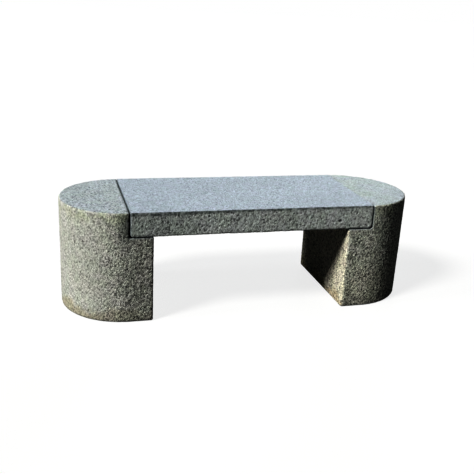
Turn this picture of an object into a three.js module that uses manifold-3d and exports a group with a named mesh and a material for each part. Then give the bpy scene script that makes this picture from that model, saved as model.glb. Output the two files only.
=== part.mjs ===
// Backless granite bench: a seat slab dropped into the rebates of two round-ended pedestals.
// Millimetres, +Z up. +X runs along the bench, -Y is its front, and the origin is on the ground
// at the centre of the footprint.

import * as THREE from "three";
import { mergeVertices } from "three/addons/utils/BufferGeometryUtils.js";
import Module from "manifold-3d";

const wasm = await Module();
wasm.setup();

// Driving dimensions
const DEPTH = 500; // front to back, and across the half-round ends
const HEIGHT = 450; // ground to seat
const CLEAR_SPAN = 804; // between the pedestals' inner faces
const PEDESTAL_LENGTH = 343; // inner face to the tip of the round end
const LEFT_BEARING = 96; // inner face to the shoulder that the slab stops at
const RIGHT_BEARING = 106;
const SLAB_THICKNESS = 97;
const LEFT_JOINT = 6; // open joint between the slab's end and the shoulder
const RIGHT_JOINT = 4;
const PAD_THICKNESS = 4; // keeps the bed joint open under the slab

// Easing of the stone edges
const PEDESTAL_ARRIS = 6;
const PEDESTAL_CORNER = 8; // radius of the upright edges beside the inner face
const SLAB_ARRIS = 2;
const SLAB_TOP_RADIUS = 3; // the slab's two upper end edges
const SLAB_BOTTOM_RADIUS = 12; // and its two lower ones

// Dowels that pin the slab to each ledge
const DOWEL_RADIUS = 6;
const DOWEL_LENGTH = 112;
const DOWEL_CHAMFER = 1;
const DOWEL_GROOVES = 6; // ring grooves in the set end, which key it to the resin
const GROOVE_DEPTH = 0.8;
const GROOVE_PITCH = 8;
const DOWEL_OFFSET = 125; // from the bench's centre line
const LEDGE_HOLE_RADIUS = 9;
const SLAB_HOLE_RADIUS = 8;
const HOLE_DEPTH = 62;
const FIT_GAP = 0.3; // between the resin and the hole, and between the resin and the dowel
const SEAT_INSET = 50; // dowels and pads are this far into the ledge from the inner face

// Setting pads on each ledge
const PAD_LENGTH = 64; // along X
const PAD_WIDTH = 50; // along Y
const PAD_CORNER = 5;
const PAD_OFFSET = 195; // from the bench's centre line

// Facets
const END_SEGMENTS = 64; // round a pedestal's half-round end
const CORNER_SEGMENTS = 6; // round a small corner
const HOLE_SEGMENTS = 32; // round a hole, and round a turned piece
const ARRIS_SEGMENTS = 3; // across an eased edge
const OVERCUT = 20; // how far a cutter runs past the stone
const WELD = 1e-4; // vertices closer than this are one

// Worked out from the driving dimensions
const END_RADIUS = DEPTH / 2;
const STRAIGHT = PEDESTAL_LENGTH - END_RADIUS; // the flat-sided stretch before the half-round
const SLAB_BOTTOM = HEIGHT - SLAB_THICKNESS;
const LEDGE_HEIGHT = SLAB_BOTTOM - PAD_THICKNESS;
const INNER_FACE_X = CLEAR_SPAN / 2;
const SEAT_X = INNER_FACE_X + SEAT_INSET;
const SLAB_LEFT_X = LEFT_JOINT - LEFT_BEARING - INNER_FACE_X;
const SLAB_RIGHT_X = INNER_FACE_X + RIGHT_BEARING - RIGHT_JOINT;
const SLAB_LENGTH = SLAB_RIGHT_X - SLAB_LEFT_X;
const SLAB_X = (SLAB_LEFT_X + SLAB_RIGHT_X) / 2;
const DOWEL_BOTTOM = SLAB_BOTTOM - (PAD_THICKNESS + DOWEL_LENGTH) / 2; // half of it is in the slab
const RESIN_BOTTOM = LEDGE_HEIGHT - HOLE_DEPTH + FIT_GAP;
const RESIN_FLOOR = DOWEL_BOTTOM - FIT_GAP - RESIN_BOTTOM; // thickness of the resin under the dowel

const stone = (color) => new THREE.MeshStandardMaterial({ color, roughness: 0.9, metalness: 0 });
const pickedGranite = stone(0x8f918a);
const seatGranite = stone(0x9aa3aa);
const stainless = new THREE.MeshStandardMaterial({ color: 0xb9bcc0, roughness: 0.35, metalness: 1 });
const settingResin = new THREE.MeshStandardMaterial({ color: 0xc9c2ad, roughness: 0.6, metalness: 0 });
const padRubber = new THREE.MeshStandardMaterial({ color: 0x1c1c1d, roughness: 0.85, metalness: 0 });

// A three.js geometry as a manifold-3d solid.
function solidOf(geometry) {
  const bare = geometry.clone();
  bare.deleteAttribute("normal");
  bare.deleteAttribute("uv");
  const merged = mergeVertices(bare, WELD);
  const mesh = new wasm.Mesh({
    numProp: 3,
    vertProperties: merged.attributes.position.array,
    triVerts: new Uint32Array(merged.index.array),
  });
  return new wasm.Manifold(mesh);
}

// A manifold-3d solid as a three.js geometry.
function geometryOf(solid) {
  const mesh = solid.getMesh();
  const geometry = new THREE.BufferGeometry();
  geometry.setAttribute("position", new THREE.BufferAttribute(mesh.vertProperties, 3));
  geometry.setIndex(new THREE.BufferAttribute(mesh.triVerts, 1));
  geometry.computeVertexNormals();
  return geometry;
}

// An outline extruded along +Z from 0 to thickness, with the edges of its two end faces eased.
function easedBlock(outline, thickness, arris) {
  const block = new THREE.ExtrudeGeometry(outline, {
    depth: thickness - 2 * arris,
    bevelThickness: arris,
    bevelSize: arris,
    bevelOffset: -arris,
    bevelSegments: ARRIS_SEGMENTS,
    curveSegments: CORNER_SEGMENTS,
  });
  return block.translate(0, 0, arris);
}

// Turns a shape's plane from XY to XZ, so that what was extruded along Z runs along -Y.
const standUp = (geometry) => geometry.rotateX(Math.PI / 2);

// A rectangle centred on the origin, with one radius for its two upper corners and one for the lower.
function roundedRectangle(length, width, upper, lower) {
  const x = length / 2;
  const y = width / 2;
  return new THREE.Shape()
    .absarc(x - upper, y - upper, upper, 0, Math.PI / 2)
    .absarc(upper - x, y - upper, upper, Math.PI / 2, Math.PI)
    .absarc(lower - x, lower - y, lower, Math.PI, 1.5 * Math.PI)
    .absarc(x - lower, lower - y, lower, 1.5 * Math.PI, 2 * Math.PI);
}

// The plan of a pedestal: a short straight stretch, then a half-round. Its inner face is on x = 0.
function pedestalPlan() {
  const r = PEDESTAL_CORNER;
  const end = new THREE.ArcCurve(STRAIGHT, 0, END_RADIUS, -Math.PI / 2, Math.PI / 2);
  const backCorner = new THREE.ArcCurve(r, END_RADIUS - r, r, Math.PI / 2, Math.PI);
  const frontCorner = new THREE.ArcCurve(r, r - END_RADIUS, r, Math.PI, 1.5 * Math.PI);
  return new THREE.Shape([
    ...end.getPoints(END_SEGMENTS),
    ...backCorner.getPoints(CORNER_SEGMENTS),
    ...frontCorner.getPoints(CORNER_SEGMENTS),
  ]);
}

// What is cut away above a pedestal's ledge, seen from the front, with flares that chamfer the edges.
function rebateOutline(bearing) {
  return new THREE.Shape([
    new THREE.Vector2(bearing, LEDGE_HEIGHT),
    new THREE.Vector2(bearing, HEIGHT - SLAB_ARRIS),
    new THREE.Vector2(bearing + SLAB_ARRIS, HEIGHT),
    new THREE.Vector2(bearing + SLAB_ARRIS, HEIGHT + OVERCUT),
    new THREE.Vector2(-OVERCUT, HEIGHT + OVERCUT),
    new THREE.Vector2(-OVERCUT, LEDGE_HEIGHT - SLAB_ARRIS),
    new THREE.Vector2(0, LEDGE_HEIGHT - SLAB_ARRIS),
    new THREE.Vector2(SLAB_ARRIS, LEDGE_HEIGHT),
  ]);
}

// The rebate's cutter: a plain run from front to back, and a chamfering flare at each end.
function rebateCutter(bearing) {
  const outline = rebateOutline(bearing);
  const run = new THREE.ExtrudeGeometry(outline, { depth: DEPTH, bevelEnabled: false });
  let cutter = solidOf(standUp(run).translate(0, END_RADIUS, 0));
  for (const y of [-END_RADIUS, END_RADIUS + OVERCUT]) {
    const flare = new THREE.ExtrudeGeometry(outline, {
      depth: OVERCUT,
      bevelThickness: SLAB_ARRIS,
      bevelSize: SLAB_ARRIS,
      bevelSegments: 1,
    });
    cutter = cutter.add(solidOf(standUp(flare).translate(0, y, 0)));
  }
  return cutter;
}

// An upright cylinder that drills a dowel hole from z = bottom to z = top.
function drill(x, y, radius, bottom, top) {
  const bit = new THREE.CylinderGeometry(radius, radius, top - bottom, HOLE_SEGMENTS);
  return solidOf(bit.rotateX(Math.PI / 2).translate(x, y, (bottom + top) / 2));
}

// A pedestal with its inner face on x = 0 and its round end towards +X.
function pedestalGeometry(bearing) {
  const block = easedBlock(pedestalPlan(), HEIGHT, PEDESTAL_ARRIS);
  let body = solidOf(block).subtract(rebateCutter(bearing));
  const bottom = LEDGE_HEIGHT - HOLE_DEPTH;
  for (const y of [-DOWEL_OFFSET, DOWEL_OFFSET]) {
    body = body.subtract(drill(SEAT_INSET, y, LEDGE_HOLE_RADIUS, bottom, LEDGE_HEIGHT + OVERCUT));
  }
  return geometryOf(body);
}

// The slab stands on z = 0, centred over the origin, with blind dowel holes in its underside.
function slabGeometry() {
  const profile = roundedRectangle(SLAB_LENGTH, SLAB_THICKNESS, SLAB_TOP_RADIUS, SLAB_BOTTOM_RADIUS);
  const block = standUp(easedBlock(profile, DEPTH, SLAB_ARRIS));
  let body = solidOf(block.translate(0, END_RADIUS, SLAB_THICKNESS / 2));
  for (const x of [-SEAT_X - SLAB_X, SEAT_X - SLAB_X]) {
    for (const y of [-DOWEL_OFFSET, DOWEL_OFFSET]) {
      body = body.subtract(drill(x, y, SLAB_HOLE_RADIUS, -OVERCUT, HOLE_DEPTH));
    }
  }
  return geometryOf(body);
}

// A solid turned about Z from [radius, z] points that run up its outside and end on the axis.
function turned(points) {
  const profile = points.map(([radius, z]) => new THREE.Vector2(radius, z));
  return new THREE.LatheGeometry(profile, HOLE_SEGMENTS).rotateX(Math.PI / 2);
}

// A stainless pin with chamfered ends and a grooved lower half. It stands on z = 0.
function dowelGeometry() {
  const points = [
    [0, 0],
    [DOWEL_RADIUS - DOWEL_CHAMFER, 0],
    [DOWEL_RADIUS, DOWEL_CHAMFER],
  ];
  for (let i = 0; i < DOWEL_GROOVES; i++) {
    const z = DOWEL_CHAMFER + (i + 0.5) * GROOVE_PITCH;
    points.push([DOWEL_RADIUS, z - GROOVE_DEPTH]);
    points.push([DOWEL_RADIUS - GROOVE_DEPTH, z]);
    points.push([DOWEL_RADIUS, z + GROOVE_DEPTH]);
  }
  points.push(
    [DOWEL_RADIUS, DOWEL_LENGTH - DOWEL_CHAMFER],
    [DOWEL_RADIUS - DOWEL_CHAMFER, DOWEL_LENGTH],
    [0, DOWEL_LENGTH],
  );
  return turned(points);
}

// The cup of set resin that fills a ledge hole round the dowel's lower half. It stands on z = 0.
function resinGeometry() {
  const outer = LEDGE_HOLE_RADIUS - FIT_GAP;
  const inner = DOWEL_RADIUS + FIT_GAP;
  const top = HOLE_DEPTH - 2 * FIT_GAP;
  return turned([
    [0, 0],
    [outer, 0],
    [outer, top],
    [inner, top],
    [inner, RESIN_FLOOR],
    [0, RESIN_FLOOR],
  ]);
}

function padGeometry() {
  const outline = roundedRectangle(PAD_LENGTH, PAD_WIDTH, PAD_CORNER, PAD_CORNER);
  return new THREE.ExtrudeGeometry(outline, {
    depth: PAD_THICKNESS,
    bevelEnabled: false,
    curveSegments: CORNER_SEGMENTS,
  });
}

function piece(name, geometry, material, x, y, z) {
  const mesh = new THREE.Mesh(geometry, material);
  mesh.name = name;
  mesh.position.set(x, y, z);
  return mesh;
}

const bench = new THREE.Group();

const leftGeometry = pedestalGeometry(LEFT_BEARING);
const leftPedestal = piece("left_pedestal", leftGeometry, pickedGranite, -INNER_FACE_X, 0, 0);
leftPedestal.rotation.z = Math.PI; // turned round, so that its half-round end points to -X
bench.add(leftPedestal);
const rightGeometry = pedestalGeometry(RIGHT_BEARING);
bench.add(piece("right_pedestal", rightGeometry, pickedGranite, INNER_FACE_X, 0, 0));
bench.add(piece("seat_slab", slabGeometry(), seatGranite, SLAB_X, 0, SLAB_BOTTOM));

const dowel = dowelGeometry();
const resin = resinGeometry();
const pad = padGeometry();
for (const [side, x] of [["left", -SEAT_X], ["right", SEAT_X]]) {
  for (const [face, sign] of [["front", -1], ["back", 1]]) {
    const place = `${side}_${face}`;
    bench.add(piece(`setting_pad_${place}`, pad, padRubber, x, sign * PAD_OFFSET, LEDGE_HEIGHT));
    bench.add(piece(`dowel_${place}`, dowel, stainless, x, sign * DOWEL_OFFSET, DOWEL_BOTTOM));
    bench.add(piece(`dowel_resin_${place}`, resin, settingResin, x, sign * DOWEL_OFFSET, RESIN_BOTTOM));
  }
}

export default bench;
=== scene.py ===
"""The looks of a granite street bench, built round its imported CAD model.

Metres, +Z up. +X runs along the bench and -Y is its front.
"""

import math

import bmesh
import bpy
import numpy as np
from mathutils import Matrix, Vector


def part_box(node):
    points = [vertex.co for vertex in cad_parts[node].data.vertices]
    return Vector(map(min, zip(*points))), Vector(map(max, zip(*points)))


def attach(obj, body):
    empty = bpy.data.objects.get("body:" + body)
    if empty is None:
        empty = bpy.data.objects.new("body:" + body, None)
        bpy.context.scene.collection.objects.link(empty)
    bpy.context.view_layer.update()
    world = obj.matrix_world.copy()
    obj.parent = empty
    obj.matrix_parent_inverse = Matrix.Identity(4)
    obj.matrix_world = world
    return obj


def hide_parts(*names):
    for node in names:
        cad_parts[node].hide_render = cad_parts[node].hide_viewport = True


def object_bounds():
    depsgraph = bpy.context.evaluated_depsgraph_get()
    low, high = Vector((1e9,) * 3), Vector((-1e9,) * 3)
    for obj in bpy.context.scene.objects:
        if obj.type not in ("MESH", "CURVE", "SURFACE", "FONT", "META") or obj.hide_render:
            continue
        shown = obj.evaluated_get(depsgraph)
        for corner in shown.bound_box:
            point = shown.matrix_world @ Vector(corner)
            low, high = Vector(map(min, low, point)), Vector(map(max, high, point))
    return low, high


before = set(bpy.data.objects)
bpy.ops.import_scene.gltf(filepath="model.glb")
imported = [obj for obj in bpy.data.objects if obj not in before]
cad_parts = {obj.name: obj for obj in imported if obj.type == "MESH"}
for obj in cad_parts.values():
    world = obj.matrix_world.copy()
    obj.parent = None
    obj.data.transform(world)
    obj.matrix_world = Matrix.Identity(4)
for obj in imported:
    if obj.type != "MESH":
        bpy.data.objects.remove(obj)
CAD_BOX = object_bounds()

MM = 0.001
SLAB = "seat_slab"
INWARD = {"left_pedestal": 1, "right_pedestal": -1}  # the way along X that a pedestal's inner face looks
PLACES = [f"{side}_{face}" for side in ("left", "right") for face in ("front", "back")]

# Places read off the frame
SEAT = CAD_BOX[1].z
FRONT = CAD_BOX[0].y
BACK = CAD_BOX[1].y
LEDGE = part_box("setting_pad_left_front")[0].z
SLAB_LOW, SLAB_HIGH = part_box(SLAB)
INNER_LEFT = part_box("left_pedestal")[1].x  # the pedestals' flat inner faces
INNER_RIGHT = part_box("right_pedestal")[0].x

# Stone meshes
PEDESTAL_GRAIN = 3.25 * MM  # side of a quad
SLAB_GRAIN = 3.65 * MM
STROKE = 0.75  # the hammer's marks are this much closer together across than up a face
EDGE_BAND = 8 * MM  # a vertex this near a face's plane may belong to that face
FACING = 0.6  # the least share of a normal along an axis for its face to look that way

# Dowel holes
HOLE_SIDES = 48
PLUG_LAP = 1.5 * MM  # how far a plug overlaps the stone round the hole it fills
DRILL_OVERRUN = 5 * MM  # how far outside the stone a cut starts
RESIN_GAP = 0.3 * MM  # between the resin and its hole, and between the dowel and the resin
SLAB_HOLE_EASE = 2 * MM  # between a dowel and its hole in the slab
SLAB_HOLE_HEADROOM = 8 * MM

# Silt in the joints, shown by closing the pedestals' edges in on the slab
LEFT_SILT = 3 * MM  # along the middle of the joint
LEFT_SILT_LESS_AT_FRONT = 1.6 * MM
LEFT_SILT_MORE_AT_BACK = 2.6 * MM
LEFT_SILT_DEPTH = 130 * MM  # below the seat, so all the way down the joint
RIGHT_SILT = 3.6 * MM
RIGHT_SILT_DEPTH = 14 * MM  # so only at the joint's top
FLUSH_WIDTH = 6 * MM  # the chamfers beside the right joint are filled flush this far from its edges
FLUSH_DEPTH = 2.8 * MM

# Wear of the arrises, as a share of a full rounding
EVEN_WEAR = 0.14
UNEVEN_WEAR = 0.30  # at most this much more or less, in long stretches and again in short ones
MOST_WEAR = 0.85
SPARED_BY_JOINT = 0.9  # the share of the wear that is missing beside the joints
SPARED_IF_SAWN = 0.8  # and round the sawn faces
SPARED_BY_SEAT = 0.8  # and at the slab's top

# Chips and voids
CHIPS = 46  # on each stone
CHIP_SIZES = (4, 9)  # smallest and largest radius, in millimetres
SMALLEST_VOID = 4 * MM
SLAB_VOIDS = 24
SLAB_LARGEST_VOID = 9 * MM
PEDESTAL_VOIDS = 45
PEDESTAL_LARGEST_VOID = 5.5 * MM

# Relief
PIT_SPACING = 7.5 * MM
GRIT_SIZE = 5 * MM
LUMP_SIZE = 17 * MM
SWELL_SIZE = 110 * MM
SLAB_RELIEF = 0.8  # of the pedestals'
INNER_SMOOTHNESS = 0.35  # how much less relief the inner faces have
PIT_LEVEL = 0.2  # how far the pitted surface is raised, as a share of the deepest pit

# Strength of the stains and of the painted shade in the large chips, from 0 (none) to 1
JOINT_GRIME = 0.6
VEIL_GRIME = 0.2
FOOT_GRIME = 0.75
LEFT_SPLASH_GRIME = 0.12
RIGHT_SPLASH_GRIME = 0.26
RUN_OFF_GRIME = 0.74
CORNER_GRIME = 0.6
# painted shade in the large chips
CHIP_SHADE = 0.7
SLAB_MOSS = 0.25
PEDESTAL_MOSS = 0.2
RIM_MOSS = 0.5
TOP_MOSS = 0.22
FILM_SOIL = 0.35


# ---------------------------------------------------------------- noise

def hashed(cells, seed):
    """A number from 0 to 1 for each whole-number cell, always the same for the same cell and seed."""
    x, y, z = (cells[:, i].astype(np.int64).astype(np.uint32) for i in range(3))
    h = x * np.uint32(0x8DA6B343) ^ y * np.uint32(0xD8163841) ^ z * np.uint32(0xCB1AB31F)
    h = h ^ np.uint32((seed * 0x9E3779B1) & 0xFFFFFFFF)
    for shift, factor in ((15, 0x2C1B3C6D), (12, 0x297A2D39), (15, 0x846CA68B)):
        h = (h ^ (h >> np.uint32(shift))) * np.uint32(factor)
    return (h ^ (h >> np.uint32(16))) / 2.0**32


def smooth_noise(points, size, seed):
    """Soft noise from -1 to 1 whose lumps are about size across."""
    scaled = points / size
    cell = np.floor(scaled)
    t = scaled - cell
    t = t * t * (3 - 2 * t)
    total = np.zeros(len(points))
    for corner in np.ndindex(2, 2, 2):
        weight = np.prod(np.where(corner, t, 1 - t), axis=1)
        total += weight * hashed(cell + corner, seed)
    return 2 * total - 1


def pecked_noise(points, size, seed):
    """Pits left by a toothed hammer: 0 between them, down to -1 at the deepest, about size apart."""
    pit_radius = 0.75  # of size
    shallowest = 0.35
    pointedness = 1.2
    scaled = points / size
    cell = np.floor(scaled)
    nearest = np.full(len(points), np.inf)
    depth = np.zeros(len(points))
    for step in np.ndindex(3, 3, 3):
        there = cell + np.array(step) - 1
        tooth = there + np.stack([hashed(there, seed + i) for i in range(3)], axis=1)
        distance = np.linalg.norm(scaled - tooth, axis=1)
        closer = distance < nearest
        nearest = np.where(closer, distance, nearest)
        depth = np.where(closer, shallowest + (1 - shallowest) * hashed(there, seed + 3), depth)
    return -depth * np.clip(1 - nearest / pit_radius, 0, 1) ** pointedness


def fade(distance, near, far):
    """1 up to near, easing down to 0 at far."""
    t = np.clip((distance - near) / (far - near), 0, 1)
    return 1 - t * t * (3 - 2 * t)


# ---------------------------------------------------------------- mesh helpers

def new_object(name, bm):
    """A new object that holds a bmesh, which is used up."""
    mesh = bpy.data.meshes.new(name)
    bm.to_mesh(mesh)
    bm.free()
    made = bpy.data.objects.new(name, mesh)
    bpy.context.scene.collection.objects.link(made)
    return made


def apply_modifiers(obj):
    """Makes the shape that an object's modifiers give its own mesh."""
    graph = bpy.context.evaluated_depsgraph_get()
    mesh = bpy.data.meshes.new_from_object(obj.evaluated_get(graph))
    obj.modifiers.clear()
    obj.data = mesh


def shade_smooth(mesh, crease=math.radians(50)):
    mesh.shade_smooth()
    mesh.set_sharp_from_angle(angle=crease)


def cylinder(bm, centre, radius, bottom, top):
    """Adds an upright closed cylinder to a bmesh."""
    bmesh.ops.create_cone(
        bm,
        cap_ends=True,
        segments=HOLE_SIDES,
        radius1=radius,
        radius2=radius,
        depth=top - bottom,
        matrix=Matrix.Translation((centre.x, centre.y, (bottom + top) / 2)),
    )


def finish_piece(obj, node, material):
    """Makes obj the piece that is shown for a CAD node."""
    obj.data.materials.clear()
    obj.data.materials.append(material)
    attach(obj, "root")
    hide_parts(node)


class Skin:
    """The vertices of a mesh, held as arrays while they are worked on."""

    def __init__(self, mesh):
        self.mesh = mesh
        ends = np.zeros(len(mesh.edges) * 2, np.int32)
        mesh.edges.foreach_get("vertices", ends)
        self.edges = ends.reshape(-1, 2)
        self.points = self.read("vertices", "co")

    def read(self, source, field):
        values = np.zeros(len(self.mesh.vertices) * 3)
        getattr(self.mesh, source).foreach_get(field, values)
        return values.reshape(-1, 3)

    def normals(self):
        return self.read("vertex_normals", "vector")

    def write(self):
        self.mesh.vertices.foreach_set("co", self.points.astype(np.float32).ravel())
        self.mesh.update()

    def relaxed(self, values, rounds):
        """The values after rounds of each vertex taking the mean of its neighbours'."""
        flat = values.reshape(len(values), -1)
        a, b = self.edges.T
        size = len(flat)
        count = np.bincount(self.edges.ravel(), minlength=size)
        for _ in range(rounds):
            columns = [
                (np.bincount(a, column[b], size) + np.bincount(b, column[a], size)) / count
                for column in flat.T
            ]
            flat = np.stack(columns, axis=1)
        return flat.reshape(values.shape)

    def scoop(self, centre, radius):
        """Takes a round scoop out of the surface, and returns how deep it went at each vertex."""
        away = self.points - np.array(centre)
        distance = np.linalg.norm(away, axis=1)
        inside = distance < radius
        depth = np.where(inside, radius - distance, 0)
        direction = away / np.maximum(distance, 1e-9)[:, None]
        self.points = self.points + direction * depth[:, None]
        return depth

    def store(self, name, values):
        attribute = self.mesh.attributes.new(name, "FLOAT", "POINT")
        attribute.data.foreach_set("value", values.astype(np.float32))


# ---------------------------------------------------------------- where things are on a stone

def shoulder_of(side):
    """The X of the upright face that the slab's end stops at."""
    clear_of_ledge = LEDGE + 10 * MM
    skin = Skin(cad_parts[f"{side}_pedestal"].data)
    found = skin.points[skin.points[:, 2] > clear_of_ledge, 0]
    return found.max() if side == "left" else found.min()


def joint_line(side):
    """The three points, in X and Z, of the L that a joint draws on the front of the bench."""
    inner = INNER_LEFT if side == "left" else INNER_RIGHT
    end = SLAB_LOW.x if side == "left" else SLAB_HIGH.x
    upright = (shoulder_of(side) + end) / 2
    bed = (LEDGE + SLAB_LOW.z) / 2
    return np.array([(upright, SEAT), (upright, bed), (inner, bed)])


JOINTS = {side: joint_line(side) for side in ("left", "right")}


def push_edge(skin, edge, amount, deep):
    """Moves a stone's upright edge, which is at X = edge, by an amount in X that fades out at deep."""
    x, _, z = skin.points.T
    beside = fade(np.abs(x - edge), 3 * MM, 9 * MM)
    high = fade(SEAT - z, deep * 0.6, deep)
    skin.points[:, 0] += amount * beside * high


def fill_chamfer(skin, edge, share):
    """Lifts the chamfer on a stone's top edge, which is at X = edge, by a share of the way to the seat."""
    x, _, z = skin.points.T
    chamfer = (np.abs(x - edge) < FLUSH_WIDTH) & (SEAT - z < FLUSH_DEPTH)
    skin.points[:, 2] += chamfer * share * (SEAT - z)


def pack_joints(skin, node):
    """Shows silt in the joints: the left is narrowed all the way down, the right all but shut at its top."""
    from_front = skin.points[:, 1] - FRONT
    from_back = BACK - skin.points[:, 1]
    packed = 1 - fade(from_front, 12 * MM, 26 * MM)  # the right joint's front end is clear
    if node == "left_pedestal":
        shut = LEFT_SILT - LEFT_SILT_LESS_AT_FRONT * fade(from_front, 20 * MM, 60 * MM)
        shut += LEFT_SILT_MORE_AT_BACK * fade(from_back, 20 * MM, 45 * MM)
        push_edge(skin, shoulder_of("left"), shut, LEFT_SILT_DEPTH)
    elif node == "right_pedestal":
        push_edge(skin, shoulder_of("right"), -RIGHT_SILT * packed, RIGHT_SILT_DEPTH)
        fill_chamfer(skin, shoulder_of("right"), packed)
    else:
        fill_chamfer(skin, SLAB_HIGH.x, packed)


def distance_to_line(points, line):
    """How far the points are, seen from the front, from a line of X and Z points."""
    flat = points[:, [0, 2]]
    nearest = np.full(len(points), np.inf)
    for start, end in zip(line, line[1:]):
        run = end - start
        along = np.clip((flat - start) @ run / (run @ run), 0, 1)
        off = flat - start - along[:, None] * run
        nearest = np.minimum(nearest, np.linalg.norm(off, axis=1))
    return nearest


def face_masks(node, points, normals):
    """Which vertices are on the fine-dressed top, on faces sawn and out of sight, and on the inner face."""
    x, _, z = points.T
    along, _, up = normals.T
    top = (up > 0.75) & (z > SEAT - EDGE_BAND) | (z > SEAT - 0.1 * MM)
    inner = np.zeros(len(points), bool)
    if node == SLAB:
        at_end = (x < SLAB_LOW.x + EDGE_BAND) | (x > SLAB_HIGH.x - EDGE_BAND)
        bearing = (x < INNER_LEFT) | (x > INNER_RIGHT)
        sawn = (np.abs(along) > FACING) & at_end | (up < -FACING) & bearing
    else:
        inward = along * INWARD[node] > FACING
        ledge = (up > FACING) & (z < LEDGE + EDGE_BAND)
        sawn = ledge | inward & (z > LEDGE) | (up < -FACING)
        inner = inward & (z <= LEDGE)
    return top.astype(float), sawn.astype(float), inner.astype(float)


def holes_of(node):
    """(centre, radius, bottom, top) of each dowel hole that a stone has."""
    found = []
    for place in PLACES:
        if node == SLAB:
            low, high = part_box(f"dowel_{place}")
            radius = (high.x - low.x) / 2 + SLAB_HOLE_EASE
            found.append(((low + high) / 2, radius, SLAB_LOW.z, high.z + SLAB_HOLE_HEADROOM))
        elif place.startswith(node.split("_")[0]):
            low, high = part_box(f"dowel_resin_{place}")
            radius = (high.x - low.x) / 2 + RESIN_GAP
            found.append(((low + high) / 2, radius, low.z - RESIN_GAP, LEDGE))
    return found


# ---------------------------------------------------------------- the three stones

def even_quads(node, grain):
    """A copy of a CAD stone with its dowel holes plugged, remeshed into small even quads."""
    bm = bmesh.new()
    bm.from_mesh(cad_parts[node].data)
    for centre, radius, bottom, top in holes_of(node):
        if node == SLAB:
            cylinder(bm, centre, radius + PLUG_LAP, bottom, top + PLUG_LAP)
        else:
            cylinder(bm, centre, radius + PLUG_LAP, bottom - PLUG_LAP, top)
    stone = new_object(f"{node}_stone", bm)
    remesh = stone.modifiers.new("even_quads", "REMESH")
    remesh.mode = "VOXEL"
    remesh.voxel_size = grain
    apply_modifiers(stone)
    return stone


def cut_holes(stone, node):
    """Cuts the dowel holes back out of the finished stone."""
    bm = bmesh.new()
    for centre, radius, bottom, top in holes_of(node):
        if node == SLAB:
            cylinder(bm, centre, radius, bottom - DRILL_OVERRUN, top)
        else:
            cylinder(bm, centre, radius, bottom, top + DRILL_OVERRUN)
    drills = new_object("drills", bm)
    cut = stone.modifiers.new("holes", "BOOLEAN")
    cut.operation = "DIFFERENCE"
    cut.solver = "MANIFOLD"
    cut.object = drills
    apply_modifiers(stone)
    bpy.data.objects.remove(drills)


def wear_arrises(skin, node, sawn, seed):
    """Rounds the arrises unevenly, and returns how near each vertex is to one, from 0 to 1."""
    wear = EVEN_WEAR + UNEVEN_WEAR * smooth_noise(skin.points, 22 * MM, seed)
    wear += UNEVEN_WEAR * smooth_noise(skin.points, 8 * MM, seed + 1)
    from_joint = np.minimum(*(distance_to_line(skin.points, line) for line in JOINTS.values()))
    wear = np.clip(wear, 0, MOST_WEAR) * (1 - SPARED_BY_JOINT * fade(from_joint, 8 * MM, 20 * MM))
    wear *= 1 - SPARED_IF_SAWN * skin.relaxed(sawn, 3)
    if node == SLAB:
        wear *= 1 - SPARED_BY_SEAT * fade(SEAT - skin.points[:, 2], 10 * MM, 20 * MM)
    soft = skin.relaxed(skin.points, 10)
    fully_rounded = 4 * MM  # a vertex that rounding would move this far is right on an arris
    arris = np.clip(np.linalg.norm(soft - skin.points, axis=1) / fully_rounded, 0, 1)
    skin.points = skin.points + (soft - skin.points) * wear[:, None]
    return arris


def chip_arrises(skin, arris, seed, count):
    """Knocks small chips off the arrises, clear of the ground, and returns how fresh each vertex is."""
    normals = skin.normals()
    picks = np.random.default_rng(seed)
    on_arris = arris > 0.3
    clear_of_ground = skin.points[:, 2] > 30 * MM
    edge = np.flatnonzero(on_arris & clear_of_ground)
    fresh = np.zeros(len(skin.points))
    for vertex in picks.choice(edge, count, replace=False):
        radius = picks.uniform(*CHIP_SIZES) * MM
        centre = skin.points[vertex] + normals[vertex] * radius * picks.uniform(0.62, 0.85)
        wholly = radius * 0.3  # stone scooped this deep is wholly fresh
        fresh = np.maximum(fresh, fade(wholly - skin.scoop(centre, radius), 0, wholly))
    return fresh


def add_voids(skin, arris, seed, count, largest):
    """Opens small voids in the rough faces, off the arrises, and returns the painted shade in them: how dark
    each vertex is.
    """
    normals = skin.normals()
    picks = np.random.default_rng(seed)
    off_arris = skin.relaxed(arris, 4) < 0.04
    on_side = np.abs(normals[:, 2]) < 0.3
    clear_of_ground = skin.points[:, 2] > 12 * MM
    face = np.flatnonzero(off_arris & on_side & clear_of_ground)
    dark = np.zeros(len(skin.points))
    darkest = 3 * MM  # a void's painted shade is at its darkest this deep
    for vertex in picks.choice(face, count, replace=False):
        radius = SMALLEST_VOID + (largest - SMALLEST_VOID) * picks.uniform() ** 3
        centre = skin.points[vertex] + normals[vertex] * radius * picks.uniform(0.45, 0.7)
        dark = np.maximum(dark, np.clip(skin.scoop(centre, radius) / darkest, 0, 1))
    return dark


def joint_grime(points, upright):
    """Dirt held along the joints, but not on top of the right one, which is packed flush."""
    coats = []
    for side, line in JOINTS.items():
        on_top = JOINT_GRIME if side == "left" else 0
        shown = JOINT_GRIME * upright + (1 - upright) * on_top
        coats.append(fade(distance_to_line(points, line), 3 * MM, 8 * MM) * shown)
    return np.maximum(*coats)


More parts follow.
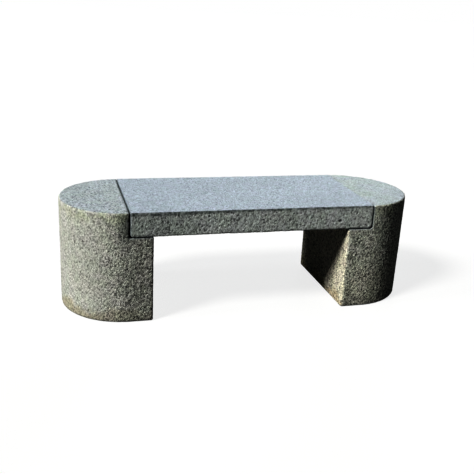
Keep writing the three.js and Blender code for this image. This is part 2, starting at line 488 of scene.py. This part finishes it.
def slab_grime(points, normals, upright, patchy, streaky):
    """Streaks under the slab's front arris, longest at the left, and a faint veil on the front's left."""
    frontward = np.clip(-normals[:, 1], 0, 1)
    from_left = points[:, 0] - SLAB_LOW.x
    stretch = 1 + 0.7 * fade(from_left, 120 * MM, 420 * MM)
    below_arris = fade((SEAT - points[:, 2]) / stretch, 6 * MM, 12 * MM) * fade(normals[:, 2], 0.75, 0.95)
    streaks = below_arris * np.clip(frontward * 1.8, 0, 1) * (0.4 + 0.7 * streaky)
    left = fade(from_left, 60 * MM, 420 * MM) * frontward * upright
    return np.maximum(streaks, VEIL_GRIME * left * (0.8 + 0.4 * patchy))


def foot_grime(points, frontward, patchy, splash):
    """Dirt drawn up round the front of a pedestal's foot, and a fainter splash above it."""
    foot = fade(points[:, 2], 2 * MM, 16 * MM) * frontward
    splashed = fade(points[:, 2], 12 * MM, 75 * MM) * frontward
    return np.maximum(FOOT_GRIME * foot * (0.4 + 0.6 * patchy), splash * splashed)


def run_off_grime(points, frontward, upright, patchy):
    """The dark run-off beside the left joint, on the pedestal's front."""
    away = np.abs(points[:, 0] - JOINTS["left"][0, 0])
    run_off = fade(away, 14 * MM, 68 * MM) * fade(LEDGE - points[:, 2], -20 * MM, 50 * MM)
    return RUN_OFF_GRIME * run_off * frontward * upright * (0.7 + 0.3 * patchy)


def corner_grime(points, frontward, patchy):
    """Dirt at the foot of the right pedestal's front inner corner."""
    corner = fade(points[:, 0] - INNER_RIGHT, 12 * MM, 50 * MM) * fade(points[:, 2], 14 * MM, 55 * MM)
    return CORNER_GRIME * corner * frontward * (0.6 + 0.4 * patchy)


def grime_on(node, points, normals, seed):
    """Dark grime: the strongest of a stone's coats at each vertex."""
    patchy = 0.5 + 0.5 * smooth_noise(points, 30 * MM, seed)
    streaky = 0.5 + 0.5 * smooth_noise(points, 9 * MM, seed + 1)
    upright = fade(normals[:, 2], 0.25, 0.7)
    frontward = np.clip(-normals[:, 1], 0, 1)
    coats = [joint_grime(points, upright)]
    if node == SLAB:
        coats.append(slab_grime(points, normals, upright, patchy, streaky))
    elif node == "left_pedestal":
        coats.append(foot_grime(points, frontward, patchy, LEFT_SPLASH_GRIME))
        coats.append(run_off_grime(points, frontward, upright, patchy))
    else:
        coats.append(foot_grime(points, frontward, patchy, RIGHT_SPLASH_GRIME))
        coats.append(corner_grime(points, frontward, patchy))
    return np.maximum.reduce(coats)


def moss_on(node, points, normals, seed):
    """Thin olive growth: in patches, on the pedestals' outer rims and on top beside the right joint."""
    patchy = smooth_noise(points, 45 * MM, seed)
    speckled = smooth_noise(points, 12 * MM, seed + 1)
    patches = fade(0.25 - 0.6 * patchy - 0.35 * speckled, 0, 0.6)
    if node == SLAB:
        return SLAB_MOSS * patches * fade(normals[:, 2], 0.25, 0.7)
    outward = fade(INNER_RIGHT + 60 * MM - np.abs(points[:, 0]), -60 * MM, 60 * MM)
    rim = fade(np.abs(SEAT - 12 * MM - points[:, 2]), 12 * MM, 45 * MM)
    margin = fade(normals[:, 2], 0.3, 1.3)
    growth = PEDESTAL_MOSS * patches + RIM_MOSS * rim * outward * (0.15 + patches) * margin
    if node == "right_pedestal":
        by_joint = fade(points[:, 0] - SLAB_HIGH.x, 15 * MM, 120 * MM)
        on_top = fade(SEAT - points[:, 2], 1 * MM, 4 * MM)
        growth += TOP_MOSS * (by_joint * on_top) * (0.3 + patches)
    return np.clip(growth, 0, 1)


def soil_on(node, points, normals, seed):
    """Tan soil: splashed up, most on the left end and the inner faces, and a film on the right front."""
    if node == SLAB:
        return np.zeros(len(points))
    height = points[:, 2]
    patchy = smooth_noise(points, 40 * MM, seed)
    speckled = smooth_noise(points, 10 * MM, seed + 1)
    splash_top = (38 + 30 * patchy + 14 * speckled) * MM
    exposed = np.clip(0.4 + np.maximum(-normals[:, 0], normals[:, 0] * INWARD[node]), 0, 1)
    soil = fade(height - splash_top, -20 * MM, 22 * MM) * exposed
    if node == "right_pedestal":
        film = FILM_SOIL * fade(height, 60 * MM, 280 * MM) * np.clip(-normals[:, 1], 0, 1)
        soil = np.maximum(soil, film)
    return soil


def grazing_shade_mask(normals):
    """Where the grain is painted bolder and the hollows darker, as shade: on the front, on the back and on
    whatever looks towards +X, which the key light grazes or misses.
    """
    to_front_or_back = (np.abs(normals[:, 1]) - 0.9) / 0.09
    to_the_right = normals[:, 0] / 0.25
    return np.clip(np.maximum(to_front_or_back, to_the_right), 0, 1)


def hammered(pits, grit, lumps, swell):
    """The height of a hammered face, in millimetres."""
    return 1.7 * (pits + PIT_LEVEL) + 0.6 * grit + 0.25 * lumps + 0.5 * swell


def fine_dressed(pits, grit, lumps, swell):
    """The height of the fine-dressed top, in millimetres."""
    return 0.3 * (pits + PIT_LEVEL) + 0.2 * grit + 0.12 * lumps + 0.25 * (swell - 1)


def dress(stone, node, seed, corner_chips):
    """Gives a stone its worn arrises, the relief of its dressing, and its stains and painted shade."""
    skin = Skin(stone.data)
    pack_joints(skin, node)
    skin.write()
    top, sawn, inner = face_masks(node, skin.points, skin.normals())
    arris = wear_arrises(skin, node, sawn, seed)
    chip_shade = np.zeros(len(skin.points))  # painted shade in the large chips, darker the deeper
    filled = 4 * MM  # a chip's painted shade is darkest this deep
    for centre, radius in corner_chips:
        chip_shade = np.maximum(chip_shade, np.clip(skin.scoop(centre, radius) / filled, 0, 1))
    skin.write()
    fresh = chip_arrises(skin, arris * (1 - sawn), seed, CHIPS)
    skin.write()
    void_count = SLAB_VOIDS if node == SLAB else PEDESTAL_VOIDS
    largest_void = SLAB_LARGEST_VOID if node == SLAB else PEDESTAL_LARGEST_VOID
    void_shade = add_voids(skin, arris + sawn, seed + 5, void_count, largest_void)
    skin.write()

    points = skin.points
    normals = skin.normals()
    fine = skin.relaxed(top, 1)
    hidden = skin.relaxed(sawn, 2)
    smooth = skin.relaxed(inner, 2)
    rough = np.clip(1 - fine - hidden - INNER_SMOOTHNESS * smooth, 0, 1)
    strokes = points * (1, 1, STROKE)
    pits = pecked_noise(strokes, PIT_SPACING, seed + 2)
    grit = smooth_noise(strokes, GRIT_SIZE, seed + 6)
    lumps = smooth_noise(points, LUMP_SIZE, seed + 7)
    swell = smooth_noise(points, SWELL_SIZE, seed + 8)
    depth = SLAB_RELIEF if node == SLAB else 1.0
    relief = rough * depth * hammered(pits, grit, lumps, swell)
    relief += fine * fine_dressed(pits, grit, lumps, swell)
    skin.points = points + normals * (relief * MM)[:, None]
    skin.write()

    skin.store("fine", fine)
    skin.store("sawn", hidden)
    # faces that the key light grazes or misses, where the material paints shade
    skin.store("grazing_shade", grazing_shade_mask(normals))
    skin.store("inner", smooth)
    # how deep the hammer pits are, which the material darkens as painted shade
    skin.store("cavity", np.clip(-pits - 0.35 * grit, 0, 1) * (1 - hidden))
    skin.store("arris", arris)
    skin.store("fresh", fresh)
    skin.store("void_shade", void_shade)
    # grime, with painted shade in the large chips
    skin.store("grime_and_shade", np.maximum(grime_on(node, points, normals, seed + 20), CHIP_SHADE * chip_shade))
    skin.store("moss", moss_on(node, points, normals, seed + 24))
    skin.store("soil", soil_on(node, points, normals, seed + 28))


def build_stone(node, grain, seed, corner_chips, material):
    """Builds the piece that is shown for one of the three stones."""
    stone = even_quads(node, grain)
    dress(stone, node, seed, corner_chips)
    cut_holes(stone, node)
    shade_smooth(stone.data)
    finish_piece(stone, node, material)


# ---------------------------------------------------------------- the hidden pieces

def turned(name, centre, profile, segments=72):
    """A closed solid turned about an upright axis from (radius, z) points that start and end on it."""
    bm = bmesh.new()
    rings = []
    for radius, z in profile:
        if radius == 0:
            rings.append([bm.verts.new((centre.x, centre.y, z))])
            continue
        angles = [2 * math.pi * i / segments for i in range(segments)]
        rings.append([
            bm.verts.new((centre.x + radius * math.cos(a), centre.y + radius * math.sin(a), z))
            for a in angles
        ])
    for lower, upper in zip(rings, rings[1:]):
        for i in range(segments):
            j = (i + 1) % segments
            if len(lower) == 1:
                bm.faces.new((lower[0], upper[j], upper[i]))
            elif len(upper) == 1:
                bm.faces.new((lower[i], lower[j], upper[0]))
            else:
                bm.faces.new((lower[i], lower[j], upper[j], upper[i]))
    bmesh.ops.recalc_face_normals(bm, faces=bm.faces)
    return new_object(name, bm)


def dowel(place, material):
    """A stainless pin with rounded ends and six rolled ring grooves in the half that is set."""
    low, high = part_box(f"dowel_{place}")
    radius = (high.x - low.x) / 2
    rounding = 1 * MM
    end_steps = 4
    groove_count = 6
    groove_pitch = 8 * MM
    groove_depth = 0.8 * MM
    groove_half_width = 1.2 * MM
    groove_steps = 6  # on each side of the middle
    profile = [(0, low.z)]
    for step in range(end_steps + 1):
        angle = math.pi / 2 * step / end_steps
        inset = rounding * (1 - math.sin(angle))
        profile.append((radius - inset, low.z + rounding * (1 - math.cos(angle))))
    for i in range(groove_count):
        middle = low.z + rounding + (i + 0.5) * groove_pitch
        for step in range(-groove_steps, groove_steps + 1):
            share = step / groove_steps
            depth = groove_depth * math.cos(share * math.pi / 2)
            profile.append((radius - depth, middle + share * groove_half_width))
    for step in range(end_steps + 1):
        angle = math.pi / 2 * step / end_steps
        inset = rounding * (1 - math.cos(angle))
        profile.append((radius - inset, high.z - rounding * (1 - math.sin(angle))))
    profile.append((0, high.z))
    made = turned(f"dowel_{place}_pin", (low + high) / 2, profile)
    shade_smooth(made.data)
    finish_piece(made, f"dowel_{place}", material)


def resin(place, material):
    """The set resin round a dowel's lower half: a cup with a dished top."""
    low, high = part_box(f"dowel_resin_{place}")
    pin_low, pin_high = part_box(f"dowel_{place}")
    outer = (high.x - low.x) / 2
    inner = (pin_high.x - pin_low.x) / 2 + RESIN_GAP
    cup_floor = pin_low.z - RESIN_GAP
    shoulder = 1.2 * MM
    softened = 0.35 * MM
    dish = 0.9 * MM
    wall_steps = 24
    rim_steps = 8
    profile = [
        (0, low.z),
        (outer - shoulder, low.z),
        (outer - softened, low.z + softened),
        (outer, low.z + shoulder),
    ]
    for step in range(1, wall_steps):
        profile.append((outer, low.z + shoulder + (high.z - low.z - shoulder) * step / wall_steps))
    for step in range(rim_steps + 1):
        share = step / rim_steps
        profile.append((outer + (inner - outer) * share, high.z - dish * math.sin(share * math.pi)))
    for step in range(1, wall_steps):
        profile.append((inner, high.z + (cup_floor - high.z) * step / wall_steps))
    profile += [(inner, cup_floor), (0, cup_floor)]
    made = turned(f"dowel_resin_{place}_cast", (low + high) / 2, profile)
    shade_smooth(made.data)
    finish_piece(made, f"dowel_resin_{place}", material)


def pad(place, material):
    """A rubber setting pad whose sides bulge a little under the slab's weight."""
    low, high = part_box(f"setting_pad_{place}")
    centre = (low + high) / 2
    half = (high - low) / 2
    corner = 5 * MM
    bulge = 0.5 * MM
    rows = 9
    corner_steps = 6
    bm = bmesh.new()
    rings = []
    for row in range(rows):
        height = -1 + 2 * row / (rows - 1)
        radius = corner + (bulge * (1 - height**2) - bulge)
        ring = []
        for quarter, (sx, sy) in enumerate(((1, 1), (-1, 1), (-1, -1), (1, -1))):
            for step in range(corner_steps + 1):
                angle = math.pi / 2 * (quarter + step / corner_steps)
                x = sx * (half.x - corner) + radius * math.cos(angle)
                y = sy * (half.y - corner) + radius * math.sin(angle)
                ring.append(bm.verts.new((centre.x + x, centre.y + y, centre.z + height * half.z)))
        rings.append(ring)
    for lower, upper in zip(rings, rings[1:]):
        for i, vertex in enumerate(lower):
            j = (i + 1) % len(lower)
            bm.faces.new((vertex, lower[j], upper[j], upper[i]))
    bm.faces.new(reversed(rings[0]))
    bm.faces.new(rings[-1])
    made = new_object(f"setting_pad_{place}_rubber", bm)
    shade_smooth(made.data)
    finish_piece(made, f"setting_pad_{place}", material)


# ---------------------------------------------------------------- materials

class Graph:
    """A node material that is built one node at a time."""

    def __init__(self, name):
        self.material = bpy.data.materials.new(name)
        self.material.use_nodes = True
        self.tree = self.material.node_tree
        self.tree.nodes.clear()
        self.place = self.node("ShaderNodeTexCoord", output="Object")

    def node(self, kind, inputs=None, output=0, **settings):
        """Adds a node and returns one of its outputs. An input is a value or another node's output."""
        made = self.tree.nodes.new(kind)
        for key, value in settings.items():
            setattr(made, key, value)
        for key, value in (inputs or {}).items():
            self.feed(made.inputs[key], value)
        return None if output is None else made.outputs[output]

    def feed(self, socket, value):
        if isinstance(value, bpy.types.NodeSocket):
            self.tree.links.new(value, socket)
        elif socket.type == "RGBA":
            socket.default_value = opaque(value)
        else:
            socket.default_value = value

    def noise(self, size, detail=2.0, place=None):
        """Cloudy noise, about 0.3 to 0.7, whose lumps are about size across."""
        inputs = {
            "Vector": place or self.place,
            "Scale": 1 / size,
            "Detail": detail,
            "Roughness": 0.55,
        }
        return self.node("ShaderNodeTexNoise", inputs)

    def crystals(self, size):
        """A random number for each crystal."""
        inputs = {"Vector": self.place, "Scale": 1 / size}
        colour = self.node("ShaderNodeTexVoronoi", inputs, output="Color")
        return self.node("ShaderNodeSeparateColor", {"Color": colour})

    def stretched(self, x, y, z):
        """The place, multiplied along each axis."""
        return self.node("ShaderNodeMapping", {"Vector": self.place, "Scale": (x, y, z)})

    def attribute(self, name):
        return self.node("ShaderNodeAttribute", output="Fac", attribute_name=name)

    def math(self, operation, a, b=0.0, c=0.0):
        return self.node("ShaderNodeMath", {0: a, 1: b, 2: c}, operation=operation)

    def remap(self, value, low, high, to_low=0.0, to_high=1.0):
        """Eases a value that runs from low to high into one that runs from to_low to to_high."""
        inputs = {
            "Value": value,
            "From Min": low,
            "From Max": high,
            "To Min": to_low,
            "To Max": to_high,
        }
        return self.node("ShaderNodeMapRange", inputs, interpolation_type="SMOOTHSTEP")

    def ramp(self, value, stops):
        """A colour for each band of a value, from (where the band starts, colour) pairs."""
        made = self.tree.nodes.new("ShaderNodeValToRGB")
        made.color_ramp.interpolation = "CONSTANT"
        elements = made.color_ramp.elements
        while len(elements) < len(stops):
            elements.new(0.5)
        for element, (position, colour) in zip(elements, stops):
            element.position = position
            element.color = opaque(colour)
        self.tree.links.new(value, made.inputs[0])
        return made.outputs[0]

    def mix(self, share, a, b, blend="MIX"):
        made = self.tree.nodes.new("ShaderNodeMix")
        made.data_type = "RGBA"
        made.blend_type = blend
        sockets = {socket.identifier: socket for socket in made.inputs}
        self.feed(sockets["Factor_Float"], share)
        self.feed(sockets["A_Color"], a)
        self.feed(sockets["B_Color"], b)
        return next(socket for socket in made.outputs if socket.identifier == "Result_Color")

    def times(self, a, b):
        return self.mix(1.0, a, b, "MULTIPLY")

    def stain_or_light(self, colour, share, tint):
        """The colour, multiplied by the tint where the share is 1."""
        return self.mix(share, colour, self.times(colour, tint))

    def bump(self, height, strength, distance):
        inputs = {"Height": height, "Strength": strength, "Distance": distance}
        return self.node("ShaderNodeBump", inputs, output="Normal")

    def finish(self, **inputs):
        named = {key.replace("_", " "): value for key, value in inputs.items()}
        surface = self.node("ShaderNodeBsdfPrincipled", named)
        self.node("ShaderNodeOutputMaterial", {"Surface": surface}, output=None)
        return self.material


def opaque(colour):
    """A grey or an RGB colour as the four numbers a socket holds."""
    return (colour, colour, colour, 1) if isinstance(colour, float) else (*colour[:3], 1)


# Minerals, as (where its band of the crystals starts, what it multiplies the stone's colour by):
# black mica, dark quartz, clear quartz, two feldspars and a few white crystals
MINERALS = [
    (0.00, (0.15, 0.155, 0.16)),
    (0.11, (0.52, 0.53, 0.54)),
    (0.26, (0.88, 0.89, 0.90)),
    (0.50, (1.04, 1.03, 1.01)),
    (0.72, (1.13, 1.14, 1.15)),
    (0.93, (1.32, 1.32, 1.30)),
]

COARSE_CRYSTALS = 4.6 * MM
SMALL_CRYSTALS = 2.4 * MM

# How boldly the minerals show, from 0 (not at all) to 1 (as in MINERALS)
SUNLIT_CONTRAST = 0.22  # on rough faces that the key light lights fully, without the painted shade
INNER_CONTRAST = 0.60  # added on the inner faces
SMALL_TOP_CONTRAST = 0.7  # small crystals on a fine-dressed top

# What the stains and the painted light and shade multiply the colour by at full strength, in the order that
# they lie on the stone
STAINS_AND_PAINTED_LIGHT = [
    # inner: partly offsets the bolder grain of the inner faces, partly painted light that leaves them
    # lighter and warmer than the other sides
    ("inner", (1.385, 1.285, 1.215)),
    ("arris", 0.93),
    ("moss", (0.975, 1.0, 0.875)),
    ("soil", (0.92, 0.86, 0.76)),
    # grime, with painted shade in the large chips
    ("grime_and_shade", (0.20, 0.225, 0.218)),
    # painted shade in the voids
    ("void_shade", 0.32),
    ("fresh", 1.03),
]


def granite(name, top, side, top_contrast, side_contrast):
    """Grey granite: pecked on its sides, finely dressed on top, sawn where it is out of sight."""
    g = Graph(name)
    fine = g.attribute("fine")
    sawn = g.attribute("sawn")
    cavity = g.attribute("cavity")
    grazing_shade = g.attribute("grazing_shade")
    g.place = g.stretched(1, 1, STROKE)
    coarse = g.ramp(g.crystals(COARSE_CRYSTALS), MINERALS)
    small = g.ramp(g.crystals(SMALL_CRYSTALS), MINERALS)
    clump = g.remap(g.noise(6 * MM, 3.0), 0.3, 0.7, 0.8, 1.2)
    drift = g.noise(140 * MM, 3.0)
    hue_drift = g.remap(g.noise(38 * MM, 2.0), 0.35, 0.65)
    hue = g.mix(hue_drift, (1.01, 0.99, 1.01), (0.99, 1.01, 0.99))

    # Rough sides: bolder grain and darker hollows, painted as shade where the key light grazes or misses
    # them
    contrast = g.math("MULTIPLY_ADD", grazing_shade, side_contrast - SUNLIT_CONTRAST, SUNLIT_CONTRAST)
    contrast = g.math("MULTIPLY_ADD", g.attribute("inner"), INNER_CONTRAST, contrast)
    rough_side = g.times(g.times(side, g.mix(contrast, 1.0, coarse)), g.mix(contrast, 1.0, small))
    # Painted shade in the hammer pits, darkest in the deepest and darker still where the key light grazes or
    # misses; the faces between pits a little lighter
    pit_shade = g.math("MULTIPLY_ADD", grazing_shade, -0.28, 0.55)
    rough_side = g.times(g.times(rough_side, clump), g.remap(cavity, 0.05, 0.75, 1.08, pit_shade))
    rough_side = g.times(rough_side, g.remap(drift, 0.3, 0.7, 0.95, 1.05))
    # lightened by a quarter where the painted shade is laid, to offset its darkening
    rough_side = g.times(rough_side, g.math("MULTIPLY_ADD", grazing_shade, 0.25, 1.0))

    # Fine-dressed top, and the sawn faces
    smooth_top = g.times(top, g.mix(top_contrast, 1.0, coarse))
    smooth_top = g.times(smooth_top, g.mix(SMALL_TOP_CONTRAST, 1.0, small))
    # painted shade in the top's pits
    smooth_top = g.times(smooth_top, g.remap(cavity, 0.0, 0.8, 1.03, 0.88))
    smooth_top = g.times(smooth_top, g.remap(drift, 0.3, 0.7, 0.97, 1.03))

    colour = g.mix(g.math("ADD", fine, sawn), rough_side, smooth_top)
    colour = g.times(colour, hue)
    # stains, and painted light and shade
    for stain_or_light, tint in STAINS_AND_PAINTED_LIGHT:
        colour = g.stain_or_light(colour, g.attribute(stain_or_light), tint)

    roughness = g.remap(g.noise(3 * MM, 2.0), 0.3, 0.7, 0.78, 0.95)
    dressing = g.math("MULTIPLY_ADD", fine, -0.6, 1.0)
    height = g.math("MULTIPLY", g.noise(4.5 * MM, 4.0), dressing)
    normal = g.bump(height, 1.0, 3 * MM)
    return g.finish(Base_Color=colour, Roughness=roughness, Specular_IOR_Level=0.3, Normal=normal)


def steel():
    """Stainless bar with fine turning marks round it."""
    g = Graph("turned_stainless")
    marks = g.noise(1.0, 3.0, g.stretched(90, 90, 5200))
    cloud = g.noise(9 * MM, 2.0)
    colour = g.mix(g.remap(cloud, 0.3, 0.7), (0.53, 0.54, 0.55), (0.64, 0.65, 0.66))
    uneven = g.math("ADD", marks, g.math("MULTIPLY", cloud, 0.4))
    roughness = g.remap(uneven, 0.4, 1.0, 0.22, 0.42)
    normal = g.bump(marks, 0.35, 0.03 * MM)
    return g.finish(Base_Color=colour, Metallic=1.0, Roughness=roughness, Normal=normal)


def cast_resin():
    """Filled polyester resin, buff and mottled, with sand in it."""
    g = Graph("cast_resin")
    mottle = g.remap(g.noise(5 * MM, 3.0), 0.3, 0.7)
    sand = g.ramp(g.crystals(0.7 * MM), [(0.0, 0.72), (0.25, 0.95), (0.8, 1.12)])
    colour = g.times(g.mix(mottle, (0.50, 0.45, 0.34), (0.62, 0.57, 0.46)), sand)
    roughness = g.remap(g.noise(1.5 * MM, 2.0), 0.3, 0.7, 0.45, 0.7)
    normal = g.bump(g.noise(1.1 * MM, 3.0), 0.5, 0.15 * MM)
    return g.finish(Base_Color=colour, Roughness=roughness, Normal=normal)


def rubber():
    """Black rubber sheet with stone dust rubbed into its pebbled face."""
    g = Graph("pad_rubber")
    dust = g.remap(g.noise(12 * MM, 4.0), 0.45, 0.75)
    colour = g.mix(dust, (0.018, 0.018, 0.019), (0.075, 0.073, 0.068))
    pebble = g.noise(0.9 * MM, 2.0)
    roughness = g.remap(dust, 0.0, 1.0, 0.68, 0.92)
    normal = g.bump(pebble, 0.5, 0.12 * MM)
    return g.finish(Base_Color=colour, Roughness=roughness, Normal=normal)


# ---------------------------------------------------------------- build

# The tops are tinted bluer than the sides: partly the stones' own colour, partly painted light, sky light on
# the tops and warm sunlight on the pedestals' sides.
left_granite = granite(
    "left_granite",
    top=(0.442, 0.482, 0.516),
    side=(0.444, 0.451, 0.420),
    top_contrast=0.66,
    side_contrast=0.62,
)
right_granite = granite(
    "right_granite",
    top=(0.456, 0.503, 0.537),
    side=(0.518, 0.531, 0.481),
    top_contrast=0.36,
    side_contrast=0.74,
)
seat_granite = granite(
    "seat_granite",
    top=(0.435, 0.486, 0.542),
    side=(0.484, 0.514, 0.510),
    top_contrast=0.35,
    side_contrast=0.31,
)

# Large chips, as (centre, radius): each centre is just outside a corner, so that the chip nicks it. Each is
# darkened inside with painted shade.
LEDGE_CHIP = ((INNER_RIGHT - 4 * MM, FRONT - 4 * MM, LEDGE + 4 * MM), 9 * MM)
SEAT_CHIP = ((SLAB_HIGH.x + 3 * MM, FRONT - 3 * MM, SEAT - 1 * MM), 10 * MM)

build_stone(
    "left_pedestal",
    grain=PEDESTAL_GRAIN,
    seed=11,
    corner_chips=[],
    material=left_granite,
)
build_stone(
    "right_pedestal",
    grain=PEDESTAL_GRAIN,
    seed=37,
    corner_chips=[LEDGE_CHIP],
    material=right_granite,
)
build_stone(
    SLAB,
    grain=SLAB_GRAIN,
    seed=71,
    corner_chips=[SEAT_CHIP],
    material=seat_granite,
)

pin_steel = steel()
hole_resin = cast_resin()
pad_rubber = rubber()
for place in PLACES:
    dowel(place, pin_steel)
    resin(place, hole_resin)
    pad(place, pad_rubber)


# ---------------------------------------------------------------- stage, light and camera

# Directions run from the bench towards the light
KEY_DIRECTION = Vector((-1, -0.456, 1.0))
SOFT_DIRECTION = Vector((-1, 0, 0.45))
RIM_DIRECTION = Vector((0.42, 0.92, 0.14))
CAMERA_PLACE = Vector((-0.797, -2.720, 1.246))
CAMERA_PAN = math.radians(-16.3)
CAMERA_TILT = math.radians(90 - 19.43)
CAMERA_ROLL = math.radians(3.13)
CAMERA_LENS = 52.7  # on Blender's 36 mm sensor
CONTRAST = 1.65  # how much steeper than plain the picture's tones run

# Floor and backdrop
FLOOR_SHADE = 0.8  # the floor that the camera sees, under its glow
FLOOR_GLOW = 0.86  # how much of what the camera sees of the floor is plain white
PAVING_SHADE = 0.075  # the floor that lights the stones
SKY_FILL = 0.023  # strength of the light from the backdrop


def floor():
    """A pale floor. What the camera sees is nearly white, but the stones are lit as if by paving."""
    bpy.ops.mesh.primitive_plane_add(size=80)
    made = bpy.context.object
    made.name = "floor"
    g = Graph("pale_floor")
    seen = g.node("ShaderNodeLightPath", output="Is Camera Ray")
    plain = g.node("ShaderNodeBsdfDiffuse", {"Color": FLOOR_SHADE})
    glow = g.node("ShaderNodeEmission", {"Color": 1.0, "Strength": 1.0})
    pale = g.node("ShaderNodeMixShader", {0: FLOOR_GLOW, 1: plain, 2: glow})
    paving = g.node("ShaderNodeBsdfDiffuse", {"Color": PAVING_SHADE})
    surface = g.node("ShaderNodeMixShader", {0: seen, 1: paving, 2: pale})
    g.node("ShaderNodeOutputMaterial", {"Surface": surface}, output=None)
    made.data.materials.append(g.material)


def sky():
    """A white backdrop that gives the stones only a little cool light."""
    world = bpy.data.worlds.new("studio")
    world.use_nodes = True
    tree = world.node_tree
    tree.nodes.clear()
    path = tree.nodes.new("ShaderNodeLightPath")
    fill = tree.nodes.new("ShaderNodeBackground")
    fill.inputs["Color"].default_value = (0.78, 0.91, 1.0, 1)
    fill.inputs["Strength"].default_value = SKY_FILL
    backdrop = tree.nodes.new("ShaderNodeBackground")
    backdrop.inputs["Color"].default_value = (1, 1, 1, 1)
    mix = tree.nodes.new("ShaderNodeMixShader")
    out = tree.nodes.new("ShaderNodeOutputWorld")
    tree.links.new(path.outputs["Is Camera Ray"], mix.inputs[0])
    tree.links.new(fill.outputs[0], mix.inputs[1])
    tree.links.new(backdrop.outputs[0], mix.inputs[2])
    tree.links.new(mix.outputs[0], out.inputs[0])
    bpy.context.scene.world = world


def distant_light(name, direction, energy, spread, colour):
    """A light far off in a direction. Its spread, in degrees, is how soft its shadows are."""
    data = bpy.data.lights.new(name, "SUN")
    data.energy = energy
    data.angle = math.radians(spread)
    data.color = colour
    light = bpy.data.objects.new(name, data)
    light.rotation_euler = direction.to_track_quat("Z", "Y").to_euler()
    bpy.context.scene.collection.objects.link(light)


def camera():
    """The camera, at the angle that the bench is pictured from."""
    data = bpy.data.cameras.new("camera")
    data.lens = CAMERA_LENS
    made = bpy.data.objects.new("camera", data)
    pan = Matrix.Rotation(CAMERA_PAN, 4, "Z")
    tilt = Matrix.Rotation(CAMERA_TILT, 4, "X")
    roll = Matrix.Rotation(CAMERA_ROLL, 4, "Z")
    made.matrix_world = Matrix.Translation(CAMERA_PLACE) @ pan @ tilt @ roll
    bpy.context.scene.collection.objects.link(made)
    bpy.context.scene.camera = made


floor()
sky()
distant_light("key", KEY_DIRECTION, energy=4.9, spread=14.0, colour=(1.0, 0.985, 0.95))
distant_light("soft", SOFT_DIRECTION, energy=1.5, spread=14.0, colour=(1.0, 1.0, 1.0))
distant_light("rim", RIM_DIRECTION, energy=2.8, spread=22.0, colour=(0.92, 0.96, 1.0))
camera()
bpy.context.scene.view_settings.view_transform = "Standard"
bpy.context.scene.view_settings.gamma = 1 / CONTRAST
